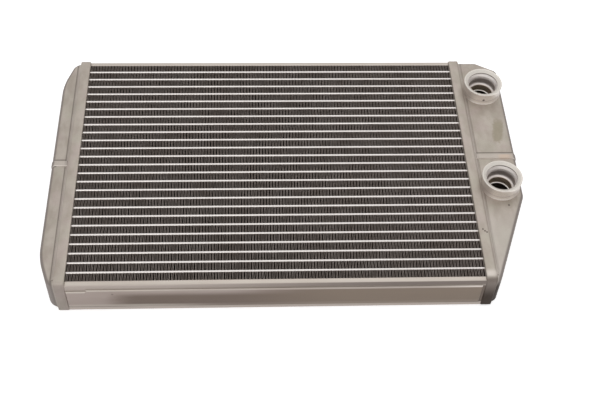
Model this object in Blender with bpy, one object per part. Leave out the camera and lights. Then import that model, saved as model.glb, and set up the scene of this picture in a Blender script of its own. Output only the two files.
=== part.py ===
"""Heater core of a vehicle heating unit: one brazed aluminium piece.

Flat water tubes run along X between two header pans. Corrugated fins fill the gaps
between the tubes, and a side plate closes the stack above and below. A pressed tank
closes each header. The right tank is wider: it carries both pipe sockets, which face
+Z, and a baffle inside it sends the water out through one half of the tubes and back
through the other. The core lies on the backs of its headers at Z = 0, and the origin
is under the middle of its box.
"""
import math

import bmesh
import bpy
from mathutils import Matrix, Vector

# Joints: the space left where two brazed pieces meet.
JOINT_GAP = 0.0003

# Edges that turn less than this are shaded smooth.
SMOOTH_BELOW = math.radians(40)

# Tube and fin stack.
TUBE_COUNT = 25
TUBE_PITCH = 0.0070
TUBE_THICKNESS = 0.0015
TUBE_DEPTH = 0.0260
TUBE_WALL = 0.0004
TUBE_NOSE_STEPS = 3
CORE_LENGTH = 0.2528
SLOT_CLEARANCE = 0.0003
FIN_FOLDS = 28
FIN_SHEET = 0.00025
FIN_SETBACK = 0.0002

# Side plates, with a raised rib along the middle.
PLATE_THICKNESS = 0.0035
PLATE_DEPTH = 0.0258
PLATE_SETBACK = 0.0005
PLATE_EDGE = 0.0005
RIB_SETBACK = 0.0056
RIB_WIDTH = 0.0165
RIB_HEIGHT = 0.0010
RIB_SLOPE = 0.0008
RIB_END = 0.0022

# Header pans, drawn from sheet with the tube plate as their floor.
HEADER_SHEET = 0.0012
HEADER_FLANGE = 0.0058
HEADER_LAP = 0.00055
SLOT_LAND = 0.00005
HEADER_BEND = 0.0024
HEADER_CORNER = 0.0032
BEND_STEPS = 3

# Tanks, pressed from sheet: reaches are measured outward from the tube plate's face.
TANK_WALL = 0.0014
TANK_EDGE = 0.0026
EDGE_STEPS = 2
LEFT_TANK_REACH = 0.0165
LEFT_TANK_NECK = 0.0098
LEFT_TANK_TAPER = 0.0205
LEFT_TAPER_FLAT = 0.0100
LEFT_NECK_RADIUS = 0.0070
RIGHT_TANK_MARGIN = 0.00175
RIGHT_TOP_WIDTH = 0.0144
RIGHT_TOP_DROP = 0.0083
RIGHT_TOP_RADIUS = 0.0040
RIGHT_FOOT_REACH = 0.0083
RIGHT_FOOT_RADIUS = 0.0040
RIGHT_SHOULDER_DROP = 0.0085
RIGHT_SHOULDER_RADIUS = 0.0080
ARC_STEP = math.radians(9)

# Beads pressed round the tanks: the left one is placed down from its tank's upper end,
# and the right one up from the lower socket.
BEAD_WIDTH = 0.0046
BEAD_HEIGHT = 0.0013
BEAD_SIDE = 0.0008
BEAD_SLOPE = 0.0012
LEFT_BEAD_DROP = 0.0922
RIGHT_BEAD_RISE = 0.0243

# Baffle in the right tank, in the gap between tubes that lies nearest to the bead.
BAFFLE_SHEET = 0.0012

# Pipe sockets, turned pieces: heights are measured from the tank's face, and every
# radius is stepped in or out from the bore.
PORT_DROP = 0.0286
PORT_SPACING = 0.0839
PORT_CLEARANCE = 0.00145
PORT_STEPS = 22
PORT_HEIGHT = 0.0091
BORE_RADIUS = 0.0095
BORE_TAPER = 0.0007
COLLAR_WALL = 0.00295
LIP_RIM = 0.00055
LIP_HEIGHT = 0.0016
LIP_ROUND = 0.0006
LEAD_IN = 0.00125
LEAD_IN_HEIGHT = 0.0017
MOUTH_ROUND = 0.0005
SEAT_DEPTH = 0.0006
SEAT_LEDGE = 0.0012
SPIGOT_WALL = 0.0020
SPIGOT_LENGTH = 0.0065
NECK_LEDGE = 0.00175

# Sizes that follow from the ones above.
fin_space = TUBE_PITCH - TUBE_THICKNESS
stack_half = (TUBE_COUNT + 1) * TUBE_PITCH / 2 - TUBE_THICKNESS / 2
header_half = stack_half + PLATE_THICKNESS + HEADER_LAP
header_depth = TUBE_DEPTH + 2 * (SLOT_CLEARANCE + SLOT_LAND + HEADER_SHEET)
tank_half = header_half - HEADER_SHEET - JOINT_GAP
tank_depth = header_depth - 2 * (HEADER_SHEET + JOINT_GAP)
middle_z = header_depth / 2
tank_face_z = middle_z + tank_depth / 2
tank_mouth = HEADER_BEND
tube_end = HEADER_BEND - JOINT_GAP
flange_proud = HEADER_SHEET + JOINT_GAP

seat_radius = BORE_RADIUS - BORE_TAPER
throat_radius = seat_radius - SEAT_LEDGE
spigot_radius = throat_radius + SPIGOT_WALL
neck_radius = spigot_radius + NECK_LEDGE
collar_radius = BORE_RADIUS + COLLAR_WALL
lip_radius = collar_radius + LIP_RIM
mouth_radius = BORE_RADIUS + LEAD_IN
port_reach = HEADER_FLANGE + PORT_CLEARANCE + neck_radius
upper_port_y = tank_half - PORT_DROP
lower_port_y = upper_port_y - PORT_SPACING
left_bead_y = tank_half - LEFT_BEAD_DROP
right_bead_y = lower_port_y + RIGHT_BEAD_RISE
baffle_row = round(right_bead_y / TUBE_PITCH + TUBE_COUNT / 2) + 1

left_slope = math.atan2(LEFT_TANK_REACH - LEFT_TANK_NECK, LEFT_TANK_TAPER)
left_slope_run = math.hypot(LEFT_TANK_REACH - LEFT_TANK_NECK, LEFT_TANK_TAPER) - LEFT_TAPER_FLAT
left_neck_run = LEFT_NECK_RADIUS * math.tan((math.pi / 2 - left_slope) / 2)
left_taper_radius = (left_slope_run - left_neck_run) / math.tan(left_slope / 2)
right_tank_reach = port_reach + collar_radius + RIGHT_TANK_MARGIN
middle_x = (LEFT_TANK_REACH - right_tank_reach) / 2
left_face_x = middle_x - CORE_LENGTH / 2
right_face_x = middle_x + CORE_LENGTH / 2


def clear_scene():
    """Start from an empty scene."""
    for old in list(bpy.data.objects):
        bpy.data.objects.remove(old, do_unlink=True)


def metal(name, colour, roughness):
    """Bare aluminium of one colour and polish."""
    made = bpy.data.materials.new(name)
    made.use_nodes = True
    shader = made.node_tree.nodes["Principled BSDF"]
    shader.inputs["Base Color"].default_value = (*colour, 1.0)
    shader.inputs["Metallic"].default_value = 0.85
    shader.inputs["Roughness"].default_value = roughness
    return made


def add_piece(name, bm, finish, smooth_angle=None):
    """Turn a finished bmesh into a named object, round faces shaded smooth."""
    bmesh.ops.recalc_face_normals(bm, faces=bm.faces)
    mesh = bpy.data.meshes.new(name)
    bm.to_mesh(mesh)
    bm.free()
    mesh.materials.append(finish)
    if smooth_angle:
        mesh.shade_smooth()
        mesh.set_sharp_from_angle(angle=smooth_angle)
    piece = bpy.data.objects.new(name, mesh)
    bpy.context.collection.objects.link(piece)
    return piece


def add_tool(name, bm, target, operation):
    """Add or cut a helper solid on a target, and keep the helper out of the part."""
    tool = add_piece(name, bm, target.data.materials[0])
    tool.hide_render = True
    tool.display_type = "WIRE"
    change = target.modifiers.new(name, "BOOLEAN")
    change.operation = operation
    change.object = tool
    return tool


def loft(bm, rings):
    """Join closed rings of points into one solid, flat at both ends."""
    loops = [[bm.verts.new(point) for point in ring] for ring in rings]
    for first, second in zip(loops, loops[1:]):
        for i in range(len(first)):
            j = (i + 1) % len(first)
            bm.faces.new((first[i], first[j], second[j], second[i]))
    bm.faces.new(loops[0])
    bm.faces.new(loops[-1])
    bmesh.ops.recalc_face_normals(bm, faces=bm.faces)


def stadium(depth, thickness):
    """Outline of a flat tube as (y, z) points: flat sides and round noses."""
    radius = thickness / 2
    reach = depth / 2 - radius
    points = []
    for side in (1, -1):
        for step in range(TUBE_NOSE_STEPS + 1):
            turn = math.pi * (0.5 - step / TUBE_NOSE_STEPS)
            points.append((side * radius * math.sin(turn), side * (reach + radius * math.cos(turn))))
    return points


def rounded_outline(corners, inset):
    """Outline through (u, v, radius) corners, given anticlockwise, moved inward by an inset."""
    count = len(corners)
    places = [Vector(corner[:2]) for corner in corners]
    along = [(places[(i + 1) % count] - places[i]).normalized() for i in range(count)]
    outline = []
    for i in range(count):
        before, after = along[i - 1], along[i]
        half = before.angle(after) / 2
        inward = Vector((-before.y, before.x)) + Vector((-after.y, after.x))
        corner = places[i] + inward.normalized() * inset / math.cos(half)
        radius = corners[i][2] - inset
        if radius <= 0:
            outline.append(corner)
            continue
        back = radius * math.tan(half)
        centre = corner + inward.normalized() * radius / math.cos(half)
        start = corner - before * back - centre
        steps = max(2, math.ceil(2 * half / ARC_STEP))
        for step in range(steps + 1):
            outline.append(centre + Matrix.Rotation(2 * half * step / steps, 2) @ start)
    return outline


def tank_solid(side, face_x, corners, inset, mouth):
    """Plan outline of a tank drawn through its depth, with its face edges rounded."""
    opened = [(mouth if u == tank_mouth else u, v, radius) for u, v, radius in corners]
    outline = rounded_outline(opened, inset)
    rim = min(point.x for point in outline)
    half = tank_depth / 2 - inset
    bm = bmesh.new()
    loft(bm, [[(face_x + side * u, v, middle_z + z) for u, v in outline] for z in (-half, half)])
    rim_x = face_x + side * rim
    edges = [
        edge for edge in bm.edges
        if abs(edge.verts[0].co.z - edge.verts[1].co.z) < 1e-6
        and max(abs(vert.co.x - rim_x) for vert in edge.verts) > 1e-6
    ]
    bmesh.ops.bevel(bm, geom=edges, offset=TANK_EDGE - inset, segments=EDGE_STEPS, profile=0.5,
                    affect="EDGES", clamp_overlap=False)
    return bm


def bead_solid(side, face_x, reach, middle_y):
    """Band that wraps the tank's two faces and its outer side, with sloping flanks."""
    inner = HEADER_FLANGE + JOINT_GAP
    outer = reach + BEAD_SIDE
    bm = bmesh.new()
    size = Vector((outer - inner, BEAD_WIDTH, tank_depth + 2 * BEAD_HEIGHT))
    centre = Vector((face_x + side * (inner + outer) / 2, middle_y, middle_z))
    bmesh.ops.create_cube(bm, size=1.0, matrix=Matrix.Translation(centre) @ Matrix.Diagonal(size).to_4x4())
    outer_x = face_x + side * outer
    inner_x = face_x + side * inner
    turned = [edge for edge in bm.edges if all(abs(vert.co.x - outer_x) < 1e-6 for vert in edge.verts)
              and abs(edge.verts[0].co.y - edge.verts[1].co.y) > 1e-6]
    bmesh.ops.bevel(bm, geom=turned, offset=TANK_EDGE, segments=EDGE_STEPS, profile=0.5, affect="EDGES")
    flanks = [edge for edge in bm.edges if abs(edge.verts[0].co.y - edge.verts[1].co.y) < 1e-6
              and not all(abs(vert.co.x - inner_x) < 1e-6 for vert in edge.verts)]
    bmesh.ops.bevel(bm, geom=flanks, offset=BEAD_SLOPE, segments=2, profile=0.5, affect="EDGES")
    return bm


def make_tank(name, side, face_x, corners, reach, bead_y, hole_heights, finish):
    """Pressed tank: rounded shell, open towards its header, with a bead round it."""
    tank = add_piece(name, tank_solid(side, face_x, corners, 0.0, tank_mouth), finish, SMOOTH_BELOW)
    add_tool(name + "_bead", bead_solid(side, face_x, reach, bead_y), tank, "UNION")
    for number, hole_y in enumerate(hole_heights, 1):
        add_tool(f"{name}_hole_{number}", hole_solid(hole_y), tank, "DIFFERENCE")
    overrun = tank_mouth - 2 * TANK_WALL
    add_tool(name + "_inside", tank_solid(side, face_x, corners, TANK_WALL, overrun), tank, "DIFFERENCE")


def make_header(name, side, face_x, finish):
    """Drawn pan whose floor is the tube plate, with a slot for each tube."""
    bm = bmesh.new()
    size = Vector((HEADER_FLANGE, 2 * header_half, header_depth))
    centre = Vector((face_x + side * HEADER_FLANGE / 2, 0.0, middle_z))
    bmesh.ops.create_cube(bm, size=1.0, matrix=Matrix.Translation(centre) @ Matrix.Diagonal(size).to_4x4())
    corners = [edge for edge in bm.edges if abs(edge.verts[0].co.x - edge.verts[1].co.x) > 1e-6]
    bmesh.ops.bevel(bm, geom=corners, offset=HEADER_CORNER, segments=BEND_STEPS, profile=0.5, affect="EDGES")
    floor = [edge for edge in bm.edges if all(abs(vert.co.x - face_x) < 1e-6 for vert in edge.verts)]
    bmesh.ops.bevel(bm, geom=floor, offset=HEADER_BEND, segments=BEND_STEPS, profile=0.5, affect="EDGES")
    bmesh.ops.recalc_face_normals(bm, faces=bm.faces)
    rim_x = face_x + side * HEADER_FLANGE
    mouth = [face for face in bm.faces if all(abs(vert.co.x - rim_x) < 1e-6 for vert in face.verts)]
    bmesh.ops.delete(bm, geom=mouth, context="FACES_ONLY")
    header = add_piece(name, bm, finish, SMOOTH_BELOW)
    wall = header.modifiers.new("wall", "SOLIDIFY")
    wall.thickness = HEADER_SHEET
    wall.offset = -1
    wall.use_even_offset = True
    slots = bmesh.new()
    outline = stadium(TUBE_DEPTH + 2 * SLOT_CLEARANCE, TUBE_THICKNESS + 2 * SLOT_CLEARANCE)
    for row in range(1, TUBE_COUNT + 1):
        ends = (face_x - side * HEADER_SHEET, face_x + side * (HEADER_BEND + HEADER_SHEET))
        loft(slots, [[(x, tube_y(row) + y, middle_z + z) for y, z in outline] for x in ends])
    add_tool(name + "_slots", slots, header, "DIFFERENCE")
    return header


def tube_y(row):
    """Height of a tube's middle, with row 1 next to the lower side plate."""
    return (row - (TUBE_COUNT + 1) / 2) * TUBE_PITCH


def make_tube(row, finish):
    """Flat tube, hollow from end to end, that passes through both tube plates."""
    outer = stadium(TUBE_DEPTH, TUBE_THICKNESS)
    inner = stadium(TUBE_DEPTH - 2 * TUBE_WALL, TUBE_THICKNESS - 2 * TUBE_WALL)
    ends = (left_face_x - tube_end, right_face_x + tube_end)
    bm = bmesh.new()
    loops = [
        [bm.verts.new((x, tube_y(row) + y, middle_z + z)) for y, z in outline]
        for x, outline in ((ends[0], outer), (ends[1], outer), (ends[1], inner), (ends[0], inner))
    ]
    for i in range(4):
        first, second = loops[i], loops[(i + 1) % 4]
        for j in range(len(outer)):
            k = (j + 1) % len(outer)
            bm.faces.new((first[j], first[k], second[k], second[j]))
    return add_piece(f"tube_{row:02d}", bm, finish, SMOOTH_BELOW)


def make_fin(row, finish):
    """Folded strip between two tubes, its folds just clear of both."""
    left, right = left_face_x + JOINT_GAP, right_face_x - JOINT_GAP
    fold = (right - left) / FIN_FOLDS
    height = fin_space - 2 * JOINT_GAP
    half_sheet = FIN_SHEET / 2 * math.hypot(fold, height) / fold
    swing = height / 2 - half_sheet
    middle_y = tube_y(row) - TUBE_PITCH / 2
    depth = TUBE_DEPTH / 2 - FIN_SETBACK
    bm = bmesh.new()
    rings = []
    for i in range(FIN_FOLDS + 1):
        x = left + i * fold
        y = middle_y + (swing if i % 2 else -swing)
        rings.append([
            (x, y + half_sheet, middle_z - depth), (x, y + half_sheet, middle_z + depth),
            (x, y - half_sheet, middle_z + depth), (x, y - half_sheet, middle_z - depth),
        ])
    loft(bm, rings)
    return add_piece(f"fin_{row:02d}", bm, finish)


def make_side_plate(name, outward, finish):
    """Bar along one side of the stack, with its rib pressed outward and closed at the ends."""
    front = middle_z + TUBE_DEPTH / 2 - PLATE_SETBACK
    back = front - PLATE_DEPTH
    rib_front = front - RIB_SETBACK
    rib_back = rib_front - RIB_WIDTH
    left, right = left_face_x + JOINT_GAP, right_face_x - JOINT_GAP
    stations = (
        (left, 0.0), (left + RIB_END, 0.0), (left + RIB_END + RIB_SLOPE, RIB_HEIGHT),
        (right - RIB_END - RIB_SLOPE, RIB_HEIGHT), (right - RIB_END, 0.0), (right, 0.0),
    )
    section = (
        (back, 0.0, 0), (back, PLATE_THICKNESS - PLATE_EDGE, 0), (back + PLATE_EDGE, PLATE_THICKNESS, 0),
        (rib_back - RIB_SLOPE, PLATE_THICKNESS, 0), (rib_back, PLATE_THICKNESS, 1),
        (rib_front, PLATE_THICKNESS, 1), (rib_front + RIB_SLOPE, PLATE_THICKNESS, 0),
        (front - PLATE_EDGE, PLATE_THICKNESS, 0), (front, PLATE_THICKNESS - PLATE_EDGE, 0), (front, 0.0, 0),
    )
    bm = bmesh.new()
    loft(bm, [
        [(x, outward * (stack_half + y + raised * rise), z) for z, y, raised in section]
        for x, rise in stations
    ])
    return add_piece(name, bm, finish)


def make_port(name, middle_y, finish):
    """Turned socket: a stepped bore under a rounded lip, and a spigot through the tank's face."""
    neck_height = flange_proud + JOINT_GAP
    profile = (
        (spigot_radius, -SPIGOT_LENGTH),
        (spigot_radius, JOINT_GAP),
        (neck_radius, JOINT_GAP),
        (neck_radius, neck_height),
        (collar_radius, neck_height + collar_radius - neck_radius),
        (collar_radius, PORT_HEIGHT - LIP_HEIGHT),
        (lip_radius, PORT_HEIGHT - LIP_HEIGHT + LIP_RIM),
        (lip_radius, PORT_HEIGHT - LIP_ROUND),
        (lip_radius - LIP_ROUND, PORT_HEIGHT),
        (mouth_radius + MOUTH_ROUND, PORT_HEIGHT),
        (mouth_radius, PORT_HEIGHT - MOUTH_ROUND),
        (BORE_RADIUS, PORT_HEIGHT - MOUTH_ROUND - LEAD_IN_HEIGHT),
        (seat_radius, -SEAT_DEPTH),
        (throat_radius, -SEAT_DEPTH - SEAT_LEDGE),
        (throat_radius, -SPIGOT_LENGTH),
    )
    centre = Vector((right_face_x + port_reach, middle_y, tank_face_z))
    bm = bmesh.new()
    ring = [bm.verts.new(centre + Vector((radius, 0.0, height))) for radius, height in profile]
    edges = [bm.edges.new((ring[i - 1], ring[i])) for i in range(len(ring))]
    bmesh.ops.spin(bm, geom=ring + edges, cent=centre, axis=(0, 0, 1), angle=2 * math.pi,
                   steps=PORT_STEPS, use_merge=True)
    return add_piece(name, bm, finish, SMOOTH_BELOW)


def hole_solid(middle_y):
    """Round cutter for the hole in the right tank's upper face that takes a socket's spigot."""
    bm = bmesh.new()
    centre = Vector((right_face_x + port_reach, middle_y, tank_face_z))
    radius = spigot_radius + JOINT_GAP
    bmesh.ops.create_cone(bm, cap_ends=True, segments=PORT_STEPS, radius1=radius, radius2=radius,
                          depth=4 * TANK_WALL, matrix=Matrix.Translation(centre))
    return bm


def make_baffle(finish):
    """Flat wall across the right tank, between two tube ends, that parts its two chambers."""
    inner = HEADER_SHEET + JOINT_GAP
    outer = right_tank_reach - TANK_WALL - JOINT_GAP
    depth = tank_depth - 2 * (TANK_WALL + JOINT_GAP)
    middle_y = tube_y(baffle_row) - TUBE_PITCH / 2
    bm = bmesh.new()
    size = Vector((outer - inner, BAFFLE_SHEET, depth))
    centre = Vector((right_face_x + (inner + outer) / 2, middle_y, middle_z))
    bmesh.ops.create_cube(bm, size=1.0, matrix=Matrix.Translation(centre) @ Matrix.Diagonal(size).to_4x4())
    outer_x = right_face_x + outer
    rounded = [edge for edge in bm.edges if all(abs(vert.co.x - outer_x) < 1e-6 for vert in edge.verts)
               and abs(edge.verts[0].co.y - edge.verts[1].co.y) > 1e-6]
    bmesh.ops.bevel(bm, geom=rounded, offset=TANK_EDGE - TANK_WALL, segments=2, profile=0.5, affect="EDGES")
    return add_piece("tank_baffle", bm, finish)


clear_scene()

header_metal = metal("header_aluminium", (0.44, 0.40, 0.34), 0.42)
tank_metal = metal("tank_aluminium", (0.42, 0.38, 0.33), 0.45)
tube_metal = metal("tube_aluminium", (0.78, 0.76, 0.72), 0.30)
fin_metal = metal("fin_aluminium", (0.30, 0.27, 0.25), 0.50)
plate_metal = metal("side_plate_aluminium", (0.38, 0.33, 0.29), 0.40)
port_metal = metal("port_aluminium", (0.60, 0.56, 0.50), 0.35)
baffle_metal = metal("baffle_aluminium", (0.42, 0.38, 0.33), 0.45)

left_corners = (
    (tank_mouth, -tank_half, 0.0),
    (LEFT_TANK_NECK, -tank_half, LEFT_NECK_RADIUS),
    (LEFT_TANK_REACH, LEFT_TANK_TAPER - tank_half, left_taper_radius),
    (LEFT_TANK_REACH, tank_half - LEFT_TANK_TAPER, left_taper_radius),
    (LEFT_TANK_NECK, tank_half, LEFT_NECK_RADIUS),
    (tank_mouth, tank_half, 0.0),
)
right_corners = (
    (tank_mouth, -tank_half, 0.0),
    (RIGHT_FOOT_REACH, -tank_half, RIGHT_FOOT_RADIUS),
    (right_tank_reach, lower_port_y - RIGHT_SHOULDER_DROP, RIGHT_SHOULDER_RADIUS),
    (right_tank_reach, tank_half - RIGHT_TOP_DROP, RIGHT_TOP_RADIUS),
    (right_tank_reach - RIGHT_TOP_WIDTH, tank_half, RIGHT_TOP_RADIUS),
    (tank_mouth, tank_half, 0.0),
)

make_header("left_header", -1, left_face_x, header_metal)
make_header("right_header", 1, right_face_x, header_metal)
for number in range(1, TUBE_COUNT + 1):
    make_tube(number, tube_metal)
for number in range(1, TUBE_COUNT + 2):
    make_fin(number, fin_metal)
make_side_plate("upper_side_plate", 1, plate_metal)
make_side_plate("lower_side_plate", -1, plate_metal)

make_tank("left_tank", -1, left_face_x, left_corners, LEFT_TANK_REACH, left_bead_y, (), tank_metal)
make_tank("right_tank", 1, right_face_x, right_corners, right_tank_reach, right_bead_y,
          (upper_port_y, lower_port_y), tank_metal)
make_baffle(baffle_metal)
make_port("upper_port", upper_port_y, port_metal)
make_port("lower_port", lower_port_y, port_metal)
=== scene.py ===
"""Looks of a brazed aluminium heater core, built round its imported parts."""
import math

import bmesh
import bpy
from mathutils import Matrix, Vector


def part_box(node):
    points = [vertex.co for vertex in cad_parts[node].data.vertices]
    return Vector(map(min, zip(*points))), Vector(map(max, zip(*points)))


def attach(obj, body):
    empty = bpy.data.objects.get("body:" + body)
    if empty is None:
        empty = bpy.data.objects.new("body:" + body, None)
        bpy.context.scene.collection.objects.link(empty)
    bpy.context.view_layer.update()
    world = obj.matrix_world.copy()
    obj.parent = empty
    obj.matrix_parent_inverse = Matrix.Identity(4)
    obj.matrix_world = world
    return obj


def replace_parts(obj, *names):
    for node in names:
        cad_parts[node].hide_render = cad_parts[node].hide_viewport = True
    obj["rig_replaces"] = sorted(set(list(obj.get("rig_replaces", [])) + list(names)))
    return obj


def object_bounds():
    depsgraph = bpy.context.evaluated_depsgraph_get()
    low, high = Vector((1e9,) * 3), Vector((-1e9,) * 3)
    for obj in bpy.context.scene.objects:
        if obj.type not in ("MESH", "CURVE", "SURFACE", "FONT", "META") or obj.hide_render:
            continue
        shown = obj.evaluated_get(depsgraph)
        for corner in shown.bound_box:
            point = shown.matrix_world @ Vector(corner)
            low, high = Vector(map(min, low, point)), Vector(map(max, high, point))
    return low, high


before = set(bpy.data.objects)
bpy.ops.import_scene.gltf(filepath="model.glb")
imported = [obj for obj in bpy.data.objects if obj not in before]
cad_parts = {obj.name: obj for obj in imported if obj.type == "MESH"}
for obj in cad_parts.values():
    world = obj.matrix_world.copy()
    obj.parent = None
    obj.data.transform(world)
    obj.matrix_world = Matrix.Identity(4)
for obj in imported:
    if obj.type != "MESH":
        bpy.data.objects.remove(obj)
cad_low, cad_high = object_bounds()

# Camera and studio.
# The core lies on a white table under soft light, and the camera looks down on it from
# the side of the lower plate. The table keeps only a faint shadow of the core.
CAMERA_PLACE = (-0.025828, -0.439049, 0.542199)
CAMERA_TURN = (38.4754, -1.9755, -2.1820)
CAMERA_LENS = 62.530
CAMERA_SENSOR = 36.0
CAMERA_NEAREST = 0.01

bpy.ops.object.select_all(action="DESELECT")
bpy.ops.object.camera_add(location=CAMERA_PLACE,
                          rotation=[math.radians(turn) for turn in CAMERA_TURN])
camera = bpy.context.object
camera.data.lens = CAMERA_LENS
camera.data.sensor_width = CAMERA_SENSOR
camera.data.clip_start = CAMERA_NEAREST
bpy.context.scene.camera = camera
bpy.context.scene.view_settings.view_transform = "Standard"


class Signal:
    """Output of a shader node. Arithmetic on signals becomes Math nodes."""

    def __init__(self, finish, socket):
        self.finish = finish
        self.socket = socket

    def math(self, operation, first, second):
        return self.finish.node("ShaderNodeMath", {"operation": operation}, {0: first, 1: second})

    def __add__(self, other):
        return self.math("ADD", self, other)

    def __radd__(self, other):
        return self.math("ADD", other, self)

    def __sub__(self, other):
        return self.math("SUBTRACT", self, other)

    def __rsub__(self, other):
        return self.math("SUBTRACT", other, self)

    def __mul__(self, other):
        return self.math("MULTIPLY", self, other)

    def __rmul__(self, other):
        return self.math("MULTIPLY", other, self)

    def __abs__(self):
        return self.math("ABSOLUTE", self, 0.0)

    def root(self):
        """Square root."""
        return self.math("POWER", self, 0.5)

    def rise(self, low, high):
        """0 below low and 1 above high, with a smooth step between."""
        settings = {"interpolation_type": "SMOOTHSTEP"}
        return self.finish.node("ShaderNodeMapRange", settings, {0: self, 1: low, 2: high})


class Finish:
    """A material in the making: its nodes, and the constants of its shader."""

    def __init__(self, name, owner=None, **constants):
        self.owner = owner or bpy.data.materials.new(name)
        self.owner.use_nodes = True
        self.tree = self.owner.node_tree
        self.shader = self.tree.nodes.get("Principled BSDF")
        for socket, value in constants.items():
            self.shader.inputs[socket.replace("_", " ")].default_value = value

    def feed(self, socket, value):
        """Link a signal to a socket, or set the socket's own value."""
        if isinstance(value, Signal):
            self.tree.links.new(value.socket, socket)
        else:
            socket.default_value = value

    def node(self, kind, settings, inputs, output=0):
        """Add a node: its settings first, then the values or links of its sockets."""
        made = self.tree.nodes.new(kind)
        for setting, value in settings.items():
            setattr(made, setting, value)
        for socket, value in inputs.items():
            self.feed(made.inputs[socket], value)
        return Signal(self, made.outputs[output])

    def place(self):
        """Object coordinates, which are the core's own."""
        return self.node("ShaderNodeTexCoord", {}, {}, "Object")

    def split(self, vector):
        """X, Y and Z of a vector."""
        made = self.node("ShaderNodeSeparateXYZ", {}, {0: vector})
        return [Signal(self, output) for output in made.socket.node.outputs]

    def axes(self):
        """X, Y and Z of the place on the core."""
        return self.split(self.place())

    def facing(self):
        """X, Y and Z of the direction that the surface faces."""
        return self.split(self.node("ShaderNodeTexCoord", {}, {}, "Normal"))

    def noise(self, size, stretch=(1.0, 1.0, 1.0), detail=3.0):
        """Noise with features of one size in metres, drawn out along the axes by a stretch."""
        scale = [1.0 / (size * drawn) for drawn in stretch]
        spread = self.node("ShaderNodeMapping", {}, {"Vector": self.place(), "Scale": scale})
        return self.node("ShaderNodeTexNoise", {},
                         {"Vector": spread, "Scale": 1.0, "Detail": detail})

    def spot(self, centre, inner, outer):
        """1 within the inner radius of a point and 0 past the outer one."""
        away = self.node("ShaderNodeVectorMath", {"operation": "DISTANCE"},
                         {0: self.place(), 1: centre}, "Value")
        return 1.0 - away.rise(inner, outer)

    def tone(self):
        """The colour made so far."""
        return Signal(self, self.shader.inputs["Base Color"].links[0].from_socket)

    def band(self, value, low, high, soft):
        """1 between two values of a signal, with a soft step at each end."""
        return value.rise(low - soft, low) * value.rise(high + soft, high)

    def blend(self, share, first, second):
        """Mix two colours by the share of the second."""
        return self.node("ShaderNodeMix", {"data_type": "RGBA"},
                         {0: share, 6: first, 7: second}, 2)

    def bump(self, height, distance):
        """Raise the surface by a height of 0 to 1 times a distance."""
        return self.node("ShaderNodeBump", {},
                         {"Height": height, "Distance": distance, "Strength": 1.0})

    def set(self, socket, value):
        """Give the shader's own socket a value or a signal."""
        self.feed(self.shader.inputs[socket], value)


TABLE_SIZE = 6.0
TABLE_COLOUR = (0.86, 0.86, 0.86, 1.0)
TABLE_GLOW = 0.65
MIRRORED_GLOW = 0.45
GLOW_FADE = 0.01
UNDER_GLOW = 0.35
SKY_LIGHT = (0.62, 0.62, 0.63, 1.0)
WHITE = (1.0, 1.0, 1.0, 1.0)


def white_to_eye(finish, mirrored_share=1.0):
    """1 on rays that see the background straight, and a share on mirrored and refracted ones."""
    rays = finish.node("ShaderNodeLightPath", {}, {}).socket.node
    straight, mirrored, through = (Signal(finish, rays.outputs[name]) for name in (
        "Is Camera Ray", "Is Glossy Ray", "Is Transmission Ray"))
    others = (mirrored + through) * (1.0 - straight)
    return straight + others * mirrored_share


def make_table():
    """White table top, seen only from above. Under the core it only lights the back, faintly."""
    bpy.ops.object.select_all(action="DESELECT")
    bpy.ops.mesh.primitive_plane_add(size=TABLE_SIZE, location=(0, 0, cad_low.z))
    table = bpy.context.object
    table.name = "table"
    finish = Finish("table_white", Base_Color=TABLE_COLOUR, Roughness=1.0, Specular_IOR_Level=0.0)
    x, y, _ = finish.axes()
    pan_x, pan_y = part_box("right_header")[1].xy
    beside = abs(x).rise(pan_x - GLOW_FADE, pan_x)
    beyond = abs(y).rise(pan_y - GLOW_FADE, pan_y)
    open_table = beside + beyond - beside * beyond
    seen = white_to_eye(finish, MIRRORED_GLOW / TABLE_GLOW)
    unseen = (1.0 - white_to_eye(finish, 0.0)) * (1.0 - open_table)
    glow = finish.node("ShaderNodeEmission", {}, {
        "Color": WHITE, "Strength": seen * open_table * TABLE_GLOW + unseen * UNDER_GLOW})
    dull = Signal(finish, finish.shader.outputs[0])
    lit = finish.node("ShaderNodeAddShader", {}, {0: dull, 1: glow})
    clear = finish.node("ShaderNodeBsdfTransparent", {}, {})
    below = finish.node("ShaderNodeNewGeometry", {}, {}, "Backfacing")
    shown = finish.node("ShaderNodeMixShader", {}, {0: below, 1: lit, 2: clear})
    finish.feed(finish.tree.nodes["Material Output"].inputs["Surface"], shown)
    table.data.materials.append(finish.owner)


def light_sky():
    """White surroundings: full white to the eye and in reflections, softer as a light."""
    world = bpy.data.worlds.new("studio")
    bpy.context.scene.world = world
    finish = Finish("studio", owner=world)
    soft = finish.node("ShaderNodeBackground", {}, {"Color": SKY_LIGHT, "Strength": 1.0})
    white = finish.node("ShaderNodeBackground", {}, {"Color": WHITE, "Strength": 1.0})
    shown = finish.node("ShaderNodeMixShader", {}, {0: white_to_eye(finish), 1: soft, 2: white})
    finish.feed(finish.tree.nodes["World Output"].inputs["Surface"], shown)


def add_lamp(name, place, size, energy):
    """Soft square lamp that faces the core."""
    bpy.ops.object.light_add(type="AREA", location=place)
    lamp = bpy.context.object
    lamp.name = name
    lamp.rotation_euler = (-Vector(place)).to_track_quat("-Z", "Y").to_euler()
    lamp.data.size = size
    lamp.data.energy = energy


make_table()
light_sky()
add_lamp("ceiling_lamp", place=(0.15, 0.62, 1.05), size=1.0, energy=2.2)
add_lamp("front_lamp", place=(-0.45, -0.9, 0.9), size=0.7, energy=1.6)


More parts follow.
